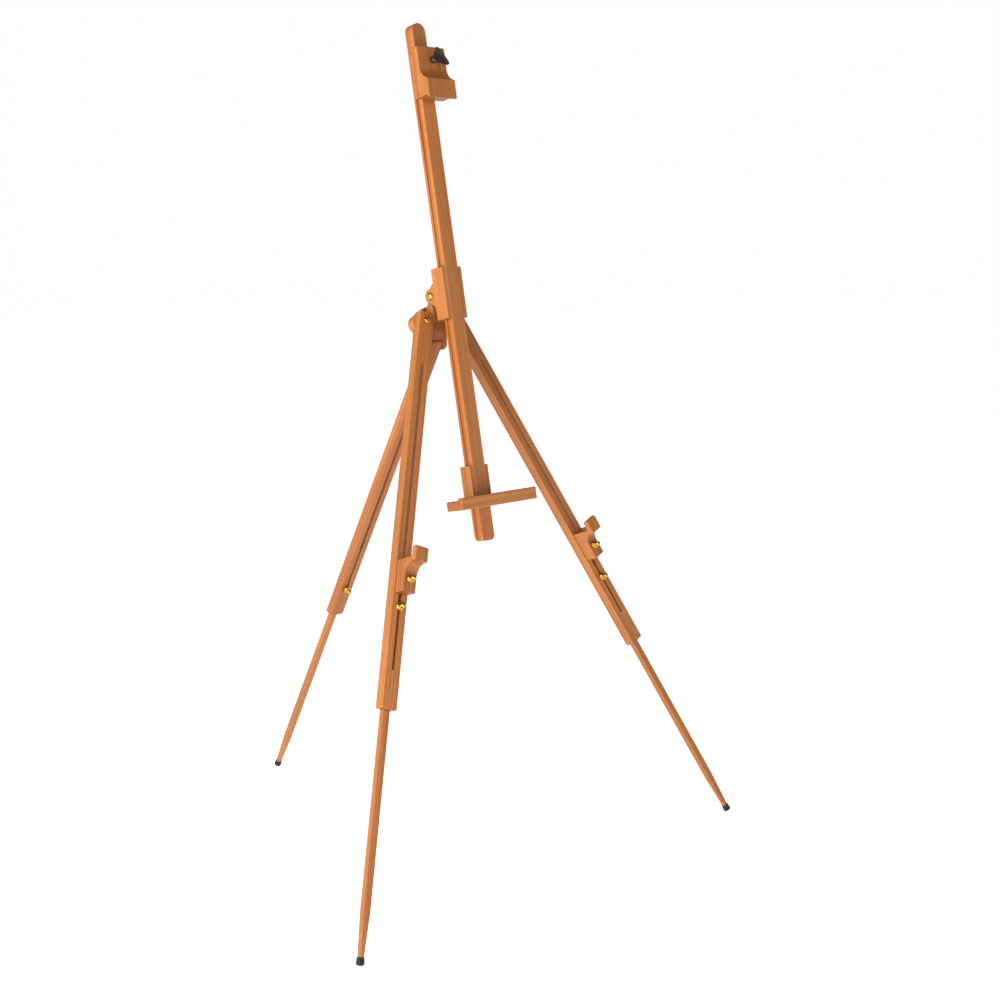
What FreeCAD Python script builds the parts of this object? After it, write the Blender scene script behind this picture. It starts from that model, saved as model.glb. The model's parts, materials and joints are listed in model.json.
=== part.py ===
"""Folding tripod field easel in oiled beech with brass knobs, in millimetres.

Row frame: origin on the floor at the middle of the footprint, +Z up, +Y to the back, +X to the
right of somebody who stands in front of the easel. Four local frames carry the pieces. In each of
them X runs across, Y to the piece's back and Z up along the piece:
  head   at the middle between the front legs' hinges, in the leaning plane of the front legs
  legs   at each leg's own hinge, Z up along the leg, y = 0 in the middle of its channel
  mast   at the tilt pivot, Z up along the mast
"""

import FreeCAD
import Part
import math
import os
from FreeCAD import Placement, Rotation, Vector

# ---- driving dimensions -------------------------------------------------------------------
FOOT_HALF_SPAN = 603.0      # front feet, from the middle plane
FOOT_REACH = 559.0          # feet, in front of and behind the origin
FOOT_RADIUS = 14.0          # rounding under each rubber tip
HEAD_Y, HEAD_Z = -157.8, 1272.0
HINGE_HALF_SPAN = 49.0      # front leg hinges, from the middle plane
REAR_PIN_UP, REAR_PIN_BACK = -44.0, 41.0   # rear hinge, in the head frame
PIVOT_Y, PIVOT_Z = -156.1, 1330.0
MAST_LEAN = 10.4            # degrees back from upright

LEG_WIDTH, LEG_DEPTH = 40.0, 24.0
GROOVE_WIDTH, GROOVE_DEPTH = 18.0, 15.5
TRACK_WIDTH, TRACK_DEPTH = 12.4, 3.2       # shallow step in the groove for the pegs' plates
SLOT_NARROW, SLOT_WIDE = 6.4, 9.0
SLOT_END = 85.0             # lower end of the slot, above the channel's lower end
SLOT_STEP = 220.0           # where the slot widens, above the channel's lower end
SLOT_TOP = 110.0            # upper end of the slot, below the hinge
GROOVE_TOP = 80.0           # upper end of the groove, below the hinge
LEG_TOP = 19.0              # channel above its hinge
LOWER_WIDTH, LOWER_DEPTH = 17.5, 14.2
LOWER_SHOWN = {"left": 526.0, "right": 526.0, "rear": 569.0}    # floor end to channel, along the leg
LOWER_LENGTH = {"left": 785.0, "right": 785.0, "rear": 690.0}
CLAMP_AT = {"left": 753.0, "right": 716.0, "rear": 658.0}       # leg clamp, above the floor end
PEG_AT = {"left": 811.0, "right": 803.0}                        # peg bolt, above the floor end
TIP_LENGTH, TIP_RADIUS, TIP_SOCKET = 17.0, 9.0, 12.0
TAPER_LENGTH, TAPER_END = 92.0, 11.6

MAST_WIDTH, MAST_DEPTH = 40.0, 28.0
MAST_BELOW, MAST_ABOVE = 585.0, 628.0      # mast ends, from the pivot
MAST_BACK_GAP = 30.0        # mast's back face in front of the pivot
SIDE_GROOVE, SIDE_GROOVE_DEEP = 12.0, 4.5
SIDE_GROOVE_TOP = 557.3     # the top clamp's runner stops here
SHELF_Z = -482.0            # top of the ledge's shelf
SHELF_LENGTH, SHELF_THICK = 240.0, 22.0
SHELF_FRONT, SHELF_BACK = 46.0, 4.5        # in front of the mast's front face
LIP_THICK, LIP_HEIGHT = 11.0, 28.0
CANVAS_GRIP = 447.0         # ceiling of the top clamp's notch
CANVAS_DEPTH = 44.5

SLIDE = 0.3                 # clearance of wood that slides on wood
RUN = 0.05                  # radial clearance of a bolt that turns in a hole
TONGUE_SIDE = 0.3
KNOB_BORE = 8.0

MAST_FRONT = -(MAST_BACK_GAP + MAST_DEPTH)
MAST_BACK = -MAST_BACK_GAP
LEG_FACE = -LEG_DEPTH / 2
GROOVE_FLOOR = LEG_DEPTH / 2 - GROOVE_DEPTH
SIDES = {"left": -1, "right": 1}


# ---- frames -------------------------------------------------------------------------------
def turned(x=0.0, y=0.0, z=0.0, about_x=0.0, about_y=0.0):
    """Placement at a point, turned about X and then about the turned Y, in degrees."""
    turn = Rotation(Vector(1, 0, 0), about_x) * Rotation(Vector(0, 1, 0), about_y)
    return Placement(Vector(x, y, z), turn)


LOWER_OFFSET = GROOVE_FLOOR + 0.2 + LOWER_DEPTH / 2     # lower leg's middle, behind the channel's


def lean_to(reach, height, offset):
    """Degrees from upright of a leg whose foot is `offset` to the side of the line through its hinge."""
    return math.degrees(math.atan2(reach, height) + math.asin(offset / math.hypot(reach, height)))


PLANE_LEAN = lean_to(HEAD_Y + FOOT_REACH, HEAD_Z - FOOT_RADIUS, LOWER_OFFSET)
PLANE_HEIGHT = math.sqrt(math.hypot(HEAD_Y + FOOT_REACH, HEAD_Z - FOOT_RADIUS) ** 2 - LOWER_OFFSET ** 2)
SPLAY = math.degrees(math.atan2(FOOT_HALF_SPAN - HINGE_HALF_SPAN, PLANE_HEIGHT))
HEAD = turned(0, HEAD_Y, HEAD_Z, -PLANE_LEAN)
REAR_PIN = HEAD.multVec(Vector(0, REAR_PIN_BACK, REAR_PIN_UP))
REAR_LEAN = lean_to(FOOT_REACH - REAR_PIN.y, REAR_PIN.z - FOOT_RADIUS, -LOWER_OFFSET)
MAST = turned(0, PIVOT_Y, PIVOT_Z, -MAST_LEAN)


def leg_frame(name):
    """A leg's frame at its hinge, as it stands open."""
    if name == "rear":
        return turned(0, REAR_PIN.y, REAR_PIN.z, REAR_LEAN)
    side = SIDES[name]
    hinge = HEAD.multVec(Vector(side * HINGE_HALF_SPAN, 0, 0))
    return turned(hinge.x, hinge.y, hinge.z, -PLANE_LEAN, -side * SPLAY)


def leg_length(name):
    """Hinge to the lowest point of the rubber tip, along the leg."""
    hinge = leg_frame(name).Base
    foot_x = SIDES.get(name, 0) * FOOT_HALF_SPAN
    foot_y = FOOT_REACH if name == "rear" else -FOOT_REACH
    span = hinge.distanceToPoint(Vector(foot_x, foot_y, FOOT_RADIUS))
    return math.sqrt(span ** 2 - LOWER_OFFSET ** 2) + FOOT_RADIUS


# ---- small shapes ---------------------------------------------------------------------------
def box(x0, x1, y0, y1, z0, z1):
    return Part.makeBox(x1 - x0, y1 - y0, z1 - z0, Vector(x0, y0, z0))


def rod(radius, length, at, along):
    return Part.makeCylinder(radius, length, Vector(*at), Vector(*along))


def prism(points, direction):
    """A closed outline of straight edges, pushed along a direction."""
    corners = [Vector(*p) for p in points]
    return Part.Face(Part.makePolygon(corners + corners[:1])).extrude(Vector(*direction))


def outline(edges, direction):
    """A closed outline of lines and arcs, pushed along a direction."""
    return Part.Face(Part.Wire(Part.__sortEdges__(edges))).extrude(Vector(*direction))


def line(a, b):
    return Part.LineSegment(Vector(*a), Vector(*b)).toShape()


def arc(a, middle, b):
    return Part.Arc(Vector(*a), Vector(*middle), Vector(*b)).toShape()


def bar(width, depth, z0, z1, soft=1.0, y=0.0):
    """A square bar along Z, centred on x = 0 and on y, with its long edges chamfered."""
    w, d, c = width / 2, depth / 2, soft
    ring = [(w, -d + c), (w, d - c), (w - c, d), (-w + c, d), (-w, d - c), (-w, -d + c), (-w + c, -d),
            (w - c, -d)]
    return prism([(px, y + py, z0) for px, py in ring], (0, 0, z1 - z0))


def soften(shape, size, keep):
    """Chamfer the straight edges whose middle point passes the test."""
    edges = [e for e in shape.Edges if isinstance(e.Curve, Part.Line) and keep(e.CenterOfMass)]
    return shape.makeChamfer(size, edges)


def pear(a, radius_a, b, radius_b, x0, x1):
    """Two discs in a YZ plane joined by their common tangents, from x0 to x1."""
    dy, dz = b[0] - a[0], b[1] - a[1]
    span = math.hypot(dy, dz)
    along = math.atan2(dz, dy)
    open_angle = math.acos((radius_a - radius_b) / span)
    corner = {}
    for side in (1, -1):
        angle = along + side * open_angle
        corner[side] = [(x0, c[0] + r * math.cos(angle), c[1] + r * math.sin(angle))
                        for c, r in ((a, radius_a), (b, radius_b))]
    far_a = (x0, a[0] - radius_a * math.cos(along), a[1] - radius_a * math.sin(along))
    far_b = (x0, b[0] + radius_b * math.cos(along), b[1] + radius_b * math.sin(along))
    edges = [line(*corner[1]), line(*corner[-1]), arc(corner[1][0], far_a, corner[-1][0]),
             arc(corner[1][1], far_b, corner[-1][1])]
    return outline(edges, (x1 - x0, 0, 0))


def turned_part(profile, at, along):
    """A solid of revolution from (radius, height) points, standing at a point along a direction."""
    points = [Vector(r, 0, h) for r, h in profile]
    solid = Part.Face(Part.makePolygon(points + points[:1])).revolve(Vector(), Vector(0, 0, 1), 360)
    solid.Placement = Placement(Vector(*at), Rotation(Vector(0, 0, 1), Vector(*along)))
    return solid


def joined(shapes):
    """One solid out of pieces that overlap or touch."""
    return shapes[0].fuse(shapes[1:]).removeSplitter()


# ---- fasteners ------------------------------------------------------------------------------
def round_knob(at, along, size=1.0, bore=3.0):
    """Turned brass knob: shouldered disc, neck and ball, with a blind bore for its bolt."""
    disc, ball, neck = 10.0 * size, 5.9 * size, 4.5 * size
    middle = 8.1 * size + math.sqrt(ball ** 2 - neck ** 2)
    edges = [line((bore + RUN, 0, 0), (disc - 1.2, 0, 0)),
             arc((disc - 1.2, 0, 0), (disc, 0, 2.0 * size), (disc - 0.4, 0, 4.4 * size)),
             arc((disc - 0.4, 0, 4.4 * size), (disc - 2.2, 0, 6.0 * size), (4.4 * size, 0, 6.7 * size)),
             arc((4.4 * size, 0, 6.7 * size), (4.0 * size, 0, 7.4 * size), (neck, 0, 8.1 * size)),
             arc((neck, 0, 8.1 * size), (ball, 0, middle), (0, 0, middle + ball)),
             line((0, 0, middle + ball), (0, 0, KNOB_BORE)),
             line((0, 0, KNOB_BORE), (bore + RUN, 0, KNOB_BORE)),
             line((bore + RUN, 0, KNOB_BORE), (bore + RUN, 0, 0))]
    knob = Part.Face(Part.Wire(Part.__sortEdges__(edges))).revolve(Vector(), Vector(0, 0, 1), 360)
    knob.Placement = Placement(Vector(*at), Rotation(Vector(0, 0, 1), Vector(*along)))
    return knob


def ring(outer, inner, thick, at, along):
    """A washer."""
    start = Vector(*at)
    return (Part.makeCylinder(outer, thick, start, Vector(*along))
            .cut(Part.makeCylinder(inner, thick, start, Vector(*along))))


def hex_prism(across, thick, at, along):
    """A hexagon nut's or bolt head's body."""
    radius = across / math.sqrt(3)
    points = [(radius * math.cos(math.radians(60 * i)), radius * math.sin(math.radians(60 * i)), 0)
              for i in range(6)]
    body = prism(points, (0, 0, thick))
    body.Placement = Placement(Vector(*at), Rotation(Vector(0, 0, 1), Vector(*along)))
    return body


def dome_bolt(radius, shank, at, along, head=2.2):
    """A round-headed bolt: its head stands behind `at`, its shank runs along the direction."""
    head_r = radius * head
    profile = [(0, -radius * 1.1), (head_r * 0.45, -radius), (head_r * 0.8, -radius * 0.65),
               (head_r, -radius * 0.15), (head_r, 0), (radius, 0), (radius, shank - 0.6),
               (radius - 0.6, shank), (0, shank)]
    return turned_part(profile, at, along)


SCREW_ROOM = 0.05           # between a wood screw and its hole


def wood_screw(radius, length, at, along):
    """A countersunk screw whose head ends flush at `at`."""
    profile = [(0, 0), (radius * 2, 0), (radius, radius), (radius, length - radius * 2), (0, length)]
    return turned_part(profile, at, along)


# ---- head -----------------------------------------------------------------------------------
PLATE_FRONT, PLATE_BACK = LEG_DEPTH / 2 + SLIDE, 33.0
FORK_HALF = 31.0
NECK_HALF = 15.0
NECK_RADIUS = 17.0
REAR_TOP = 16.0             # rear leg above its pin
HINGE_BOLT, PIN_BOLT, TILT_BOLT = 4.0, 3.5, 4.0
STOP_GAP = 0.12


def head_block():
    """Beech block: back plate for the front legs, stop wedge, fork for the rear leg and tilt neck."""
    plate = outline([line((-50, PLATE_FRONT, -21), (50, PLATE_FRONT, -21)),
                     arc((50, PLATE_FRONT, -21), (71, PLATE_FRONT, 0), (56, PLATE_FRONT, 20.1)),
                     line((56, PLATE_FRONT, 20.1), (24, PLATE_FRONT, 38)),
                     line((24, PLATE_FRONT, 38), (-24, PLATE_FRONT, 38)),
                     line((-24, PLATE_FRONT, 38), (-56, PLATE_FRONT, 20.1)),
                     arc((-56, PLATE_FRONT, 20.1), (-71, PLATE_FRONT, 0), (-50, PLATE_FRONT, -21))],
                    (0, PLATE_BACK - PLATE_FRONT, 0))
    tan_splay = math.tan(math.radians(SPLAY))
    reach = HINGE_HALF_SPAN - LEG_WIDTH / 2 / math.cos(math.radians(SPLAY)) - STOP_GAP
    low, high = -2.6, 10.6
    wedge = [(reach - tan_splay * low, low), (reach - tan_splay * high, high), (reach - tan_splay * high, 36)]
    around = wedge + [(-x, z) for x, z in reversed(wedge)]
    stop = prism([(x, LEG_FACE + 0.5, z) for x, z in around], (0, PLATE_FRONT - LEG_FACE, 0))
    pin = (REAR_PIN_BACK, REAR_PIN_UP)
    fork = pear(pin, 16.0, (24.0, 2.0), 12.0, -FORK_HALF, FORK_HALF)
    pivot = HEAD.inverse().multVec(MAST.Base)
    neck = pear((pivot.y, pivot.z), NECK_RADIUS, (9.0, 18.0), 18.0, -NECK_HALF, NECK_HALF)
    block = joined([plate, stop, fork, neck])

    rear = HEAD.inverse().multiply(leg_frame("rear"))
    gap = box(-LEG_WIDTH / 2 - SLIDE, LEG_WIDTH / 2 + SLIDE, -60, 90, -90, REAR_TOP + STOP_GAP)
    gap.Placement = rear
    block = block.cut(gap)
    holes = [rod(HINGE_BOLT, 60, (side * HINGE_HALF_SPAN, 0, 0), (0, 1, 0)) for side in SIDES.values()]
    holes.append(rod(PIN_BOLT, 2 * FORK_HALF, (-FORK_HALF, *pin), (1, 0, 0)))
    holes.append(rod(TILT_BOLT + RUN, 2 * NECK_HALF, (-NECK_HALF, pivot.y, pivot.z), (1, 0, 0)))
    return block.cut(Part.makeCompound(holes))


def head_nodes():
    """Fixed pieces of the head, in the head frame."""
    face = LEG_FACE - 0.15
    bolts, washers, nuts = [], [], []
    for side in SIDES.values():
        x = side * HINGE_HALF_SPAN
        shank = PLATE_BACK + 8.5 - (face - 1.6)
        bolts.append(dome_bolt(HINGE_BOLT, shank, (x, face - 1.6, 0), (0, 1, 0)))
        washers.append(ring(10.5, HINGE_BOLT, 1.6, (x, face - 1.6, 0), (0, 1, 0)))
        washers.append(ring(9.5, HINGE_BOLT, 1.6, (x, PLATE_BACK, 0), (0, 1, 0)))
        nut = hex_prism(13, 6.4, (x, PLATE_BACK + 1.6, 0), (0, 1, 0))
        nuts.append(nut.cut(rod(HINGE_BOLT, 10, (x, PLATE_BACK, 0), (0, 1, 0))))
    pin = (REAR_PIN_BACK, REAR_PIN_UP)
    rear_bolt = dome_bolt(PIN_BOLT, 2 * FORK_HALF + 9, (-FORK_HALF - 1.4, *pin), (1, 0, 0))
    washers += [ring(9, PIN_BOLT, 1.4, (x, *pin), (1, 0, 0)) for x in (-FORK_HALF - 1.4, FORK_HALF)]
    rear_nut = hex_prism(11, 5.4, (FORK_HALF + 1.4, *pin), (1, 0, 0))
    nuts.append(rear_nut.cut(rod(PIN_BOLT, 12, (FORK_HALF, *pin), (1, 0, 0))))
    return {
        "head_block": head_block(),
        "front_hinge_bolts": Part.makeCompound(bolts),
        "rear_hinge_bolt": rear_bolt,
        "hinge_washers": Part.makeCompound(washers),
        "hinge_nuts": Part.makeCompound(nuts),
    }


# ---- tilt carriage ----------------------------------------------------------------------------
CARRIAGE_HALF = 60.0
CARRIAGE_WIDE = 31.0
CARRIAGE_BACK_THICK = 12.0
EAR_INNER, EAR_OUTER = 15.3, 27.3
LOCK_Z = 42.0
TILT_KNOB_SIZE = 1.25


def side_cheek(side, inner, outer, front, back, z0, z1):
    """Cheek beside the mast, with a tongue that runs in the mast's side groove."""
    middle = (MAST_FRONT + MAST_BACK) / 2
    half = SIDE_GROOVE / 2 - TONGUE_SIDE
    tongue = MAST_WIDTH / 2 - SIDE_GROOVE_DEEP + TONGUE_SIDE
    points = [(outer, front), (outer, back)]
    if back > middle + half:
        points += [(inner, back), (inner, middle + half)]
    points += [(tongue, middle + half), (tongue, middle - half), (inner, middle - half), (inner, front)]
    return prism([(side * x, y, z0) for x, y in points], (0, 0, z1 - z0))


def carriage_nodes():
    """Carriage that grips the mast's side grooves and tilts on the head, in the mast frame."""
    inner = MAST_WIDTH / 2 + SLIDE
    plate_front = MAST_BACK + SLIDE
    plate_back = plate_front + CARRIAGE_BACK_THICK
    plate = soften(box(-CARRIAGE_WIDE, CARRIAGE_WIDE, plate_front, plate_back, -CARRIAGE_HALF, CARRIAGE_HALF),
                   2.0, lambda m: m.y > plate_back - 0.1)
    ears = []
    for side in (-1, 1):
        x0, x1 = sorted((side * EAR_INNER, side * EAR_OUTER))
        disc = rod(NECK_RADIUS, x1 - x0, (x0, 0, 0), (1, 0, 0))
        flank = prism([(x0, plate_back, -30), (x0, plate_back, 30), (x0, 0, NECK_RADIUS),
                       (x0, 0, -NECK_RADIUS)], (x1 - x0, 0, 0))
        ears.append(joined([disc, flank]))
    bracket = joined([plate] + ears)
    lock_hole = rod(5.0, 20, (0, plate_front - 1, LOCK_Z), (0, 1, 0))
    screws = [(side * (inner + CARRIAGE_WIDE) / 2, z) for side in (-1, 1) for z in (-45.0, 0.0, 45.0)]
    fitted = [wood_screw(1.8, 30, (x, plate_back, z), (0, -1, 0)) for x, z in screws]
    sinks = [wood_screw(1.8 + SCREW_ROOM, 30 + SCREW_ROOM, (x, plate_back, z), (0, -1, 0)) for x, z in screws]
    bracket = bracket.cut(Part.makeCompound([lock_hole, rod(TILT_BOLT, 70, (-35, 0, 0), (1, 0, 0))] + sinks))
    cheeks = {}
    for name, side in SIDES.items():
        cheek = side_cheek(side, inner, CARRIAGE_WIDE, MAST_FRONT + 1, plate_front, -CARRIAGE_HALF,
                           CARRIAGE_HALF)
        cheek = soften(cheek, 1.5, lambda m: abs(m.x) > CARRIAGE_WIDE - 0.1 and m.y < plate_front - 1)
        cheeks["carriage_cheek_" + name] = cheek.cut(Part.makeCompound(sinks))
    insert = ring(5.0, 3.0 + RUN, CARRIAGE_BACK_THICK - 1, (0, plate_front + 1, LOCK_Z), (0, 1, 0))
    bolt = dome_bolt(TILT_BOLT, 2 * EAR_OUTER + 1.6 + 1.6 + 6.5, (-EAR_OUTER - 1.6, 0, 0), (1, 0, 0))
    washers = [ring(10, TILT_BOLT, 1.6, (x, 0, 0), (1, 0, 0)) for x in (-EAR_OUTER - 1.6, EAR_OUTER)]
    return {
        "tilt_bracket": bracket,
        **cheeks,
        "carriage_screws": Part.makeCompound(fitted),
        "lock_insert": insert,
        "tilt_bolt": bolt,
        "tilt_washers": Part.makeCompound(washers),
    }


def tilt_knob():
    return round_knob((EAR_OUTER + 1.8, 0, 0), (1, 0, 0), TILT_KNOB_SIZE, TILT_BOLT)


def pressing_knob(hole_end, face, z, along=1.0):
    """Knob and stud that press on a face of the mast: (knob, stud), in the mast frame."""
    knob = round_knob((0, hole_end, z), (0, along, 0))
    start = face + 0.12 * along
    stud = rod(3.0, abs(hole_end - start) + KNOB_BORE - 0.5, (0, start, z), (0, along, 0))
    return knob, stud


def lock_nodes():
    back = MAST_BACK + SLIDE + CARRIAGE_BACK_THICK
    knob, stud = pressing_knob(back + 0.4, MAST_BACK, LOCK_Z)
    return {"lock_knob": knob, "lock_stud": stud}


# ---- mast -------------------------------------------------------------------------------------
def mast():
    """Canvas rail with an arched top, a rounded foot and a groove down each side."""
    half, corner = MAST_WIDTH / 2, 11.0
    y, low, high = MAST_FRONT, -MAST_BELOW, MAST_ABOVE
    k = corner * (1 - math.sqrt(0.5))
    edges = [arc((-half, y, high - half), (0, y, high), (half, y, high - half)),
             line((half, y, high - half), (half, y, low + corner)),
             arc((half, y, low + corner), (half - k, y, low + k), (half - corner, y, low)),
             line((half - corner, y, low), (-half + corner, y, low)),
             arc((-half + corner, y, low), (-half + k, y, low + k), (-half, y, low + corner)),
             line((-half, y, low + corner), (-half, y, high - half))]
    rail = outline(edges, (0, MAST_DEPTH, 0))
    rail = rail.makeChamfer(1.0, [e for e in rail.Edges if e.CenterOfMass.y in (MAST_FRONT, MAST_BACK)])
    middle = (MAST_FRONT + MAST_BACK) / 2
    cuts = []
    for side in SIDES.values():
        x0, x1 = sorted((side * (half + 1), side * (half - SIDE_GROOVE_DEEP)))
        cuts.append(box(x0, x1, middle - SIDE_GROOVE / 2, middle + SIDE_GROOVE / 2, low - 1, SIDE_GROOVE_TOP))
    return rail.cut(Part.makeCompound(cuts))


# ---- top clamp ----------------------------------------------------------------------------------
CLAMP_HALF = 42.0
CLAMP_LIP = 7.0
CLAMP_TOP = CANVAS_GRIP + 117.0
RUNNER_LOW = CLAMP_TOP - 43.0
RUNNER_WEB = 13.2
STUD_Z = CLAMP_TOP - 32.0
PLATE_THICK = 17.0


def clamp_block():
    """Block over the canvas: plate, hollow curve and notched foot, pushed across the mast."""
    x, front = -CLAMP_HALF, MAST_FRONT
    plate_back = front - RUNNER_WEB - 0.3
    plate_face = plate_back - PLATE_THICK
    foot_face = front - CANVAS_DEPTH - 0.3 - CLAMP_LIP
    lip_back = front - CANVAS_DEPTH - 0.3
    foot_top, cove_top = CANVAS_GRIP + 38.0, RUNNER_LOW - 0.3
    bend = (x, plate_face - 6.2, foot_top + 9.5)
    edges = [line((x, plate_back, CLAMP_TOP), (x, plate_face + 3, CLAMP_TOP)),
             arc((x, plate_face + 3, CLAMP_TOP), (x, plate_face + 0.9, CLAMP_TOP - 0.9),
                 (x, plate_face, CLAMP_TOP - 3)),
             line((x, plate_face, CLAMP_TOP - 3), (x, plate_face, cove_top)),
             arc((x, plate_face, cove_top), bend, (x, foot_face + 2, foot_top)),
             arc((x, foot_face + 2, foot_top), (x, foot_face + 0.6, foot_top - 0.6),
                 (x, foot_face, foot_top - 2)),
             line((x, foot_face, foot_top - 2), (x, foot_face, CANVAS_GRIP - 6)),
             line((x, foot_face, CANVAS_GRIP - 6), (x, lip_back, CANVAS_GRIP - 6)),
             line((x, lip_back, CANVAS_GRIP - 6), (x, lip_back, CANVAS_GRIP)),
             line((x, lip_back, CANVAS_GRIP), (x, front - 3, CANVAS_GRIP)),
             line((x, front - 3, CANVAS_GRIP), (x, front - 3, cove_top)),
             line((x, front - 3, cove_top), (x, plate_back, cove_top)),
             line((x, plate_back, cove_top), (x, plate_back, CLAMP_TOP))]
    block = outline(edges, (2 * CLAMP_HALF, 0, 0))
    w, r, low = CLAMP_HALF, 5.0, CANVAS_GRIP - 7
    k = r * (1 - math.sqrt(0.5))
    y = foot_face - 1
    front_view = outline([line((-w, y, low), (w, y, low)), line((w, y, low), (w, y, CLAMP_TOP - r)),
                          arc((w, y, CLAMP_TOP - r), (w - k, y, CLAMP_TOP - k), (w - r, y, CLAMP_TOP)),
                          line((w - r, y, CLAMP_TOP), (-w + r, y, CLAMP_TOP)),
                          arc((-w + r, y, CLAMP_TOP), (-w + k, y, CLAMP_TOP - k), (-w, y, CLAMP_TOP - r)),
                          line((-w, y, CLAMP_TOP - r), (-w, y, low))], (0, 80, 0))
    return block.common(front_view).cut(rod(3.4, 40, (0, front - 40, STUD_Z), (0, 1, 0)))


def top_clamp_nodes():
    """Clamp that holds the canvas's top edge, in the mast frame."""
    front = MAST_FRONT
    middle = (MAST_FRONT + MAST_BACK) / 2
    inner, outer = MAST_WIDTH / 2 + SLIDE, 23.0
    high = CLAMP_TOP - 7.0
    web = box(-outer, outer, front - RUNNER_WEB, front - SLIDE, RUNNER_LOW, high)
    cheeks = []
    for side in SIDES.values():
        cheek = side_cheek(side, inner, outer, front - SLIDE, middle + SIDE_GROOVE / 2 - TONGUE_SIDE,
                           RUNNER_LOW, high)
        cheeks.append(cheek)
    dowels = [rod(3.0, 22.0, (x, front - RUNNER_WEB - 12, CLAMP_TOP - 22), (0, 1, 0)) for x in (-15, 15)]
    runner = joined([web] + cheeks)
    runner = runner.cut(Part.makeCompound(dowels + [rod(5.0, 20, (0, front - 15, STUD_Z), (0, 1, 0))]))
    insert = ring(5.0, 3.0 + RUN, RUNNER_WEB - 1.5, (0, front - RUNNER_WEB, STUD_Z), (0, 1, 0))
    return {
        "top_clamp_block": clamp_block().cut(Part.makeCompound(dowels)),
        "top_clamp_runner": runner,
        "top_clamp_dowels": Part.makeCompound(dowels),
        "top_clamp_insert": insert,
    }


WING_TURN = 132.0           # degrees from across, one wing up and to the left


def wing_knob_nodes():
    """Fan-shaped plastic wing knob on its stud, in the mast frame."""
    base = MAST_FRONT - RUNNER_WEB - 0.3 - PLATE_THICK - 0.8
    thick, wide, tall, root = 10.0, 22.5, 35.0, 7.6
    points = {"root_r": (root, 0, 0), "neck_r": (root + 1.2, 0, 7), "tip_low_r": (wide - 1.5, 0, tall - 6),
              "tip_top_r": (wide - 3.5, 0, tall)}
    left = {k: (-x, y, z) for k, (x, y, z) in points.items()}
    half = []
    for p, s in ((points, 1), (left, -1)):
        half += [line(p["root_r"], p["neck_r"]),
                 arc(p["neck_r"], (s * 12.6, 0, 18.5), p["tip_low_r"]),
                 arc(p["tip_low_r"], (s * (wide - 0.6), 0, tall - 1.8), p["tip_top_r"])]
    edges = half + [line(left["root_r"], points["root_r"]),
                    arc(left["tip_top_r"], (0, 0, tall + 1.6), points["tip_top_r"])]
    fan = outline(edges, (0, thick, 0))
    fan.translate(Vector(0, -thick / 2, 0))
    hub = turned_part([(0, 0), (7.5, 0), (7.5, 8.5), (6.4, 11), (0, 11)], (0, 0, 0), (0, 0, 1))
    dishes = [Part.makeSphere(20.0, Vector(0, side * (thick / 2 + 18.1), 23)) for side in (-1, 1)]
    fan = joined([fan.cut(dishes[0]).cut(dishes[1]), hub])
    fan = fan.cut(rod(3.0, 9.0, (0, 0, 0), (0, 0, 1)))
    stand = Placement(Vector(0, base, STUD_Z), Rotation(Vector(1, 0, 0), 90))
    fan.Placement = stand.multiply(Placement(Vector(), Rotation(Vector(0, 0, 1), WING_TURN)))
    start = MAST_FRONT - 0.12
    stud = rod(3.0, start - base + 8.5, (0, start, STUD_Z), (0, -1, 0))
    return {"wing_knob": fan, "wing_stud": stud}


# ---- ledge --------------------------------------------------------------------------------------
LEDGE_CHEEK = 8.0
LEDGE_RISE = 75.0
LEDGE_PLATE = 8.0
LEDGE_KNOB_Z = SHELF_Z + 46.0
SHELF_GROOVE_AT = 29.0


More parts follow.
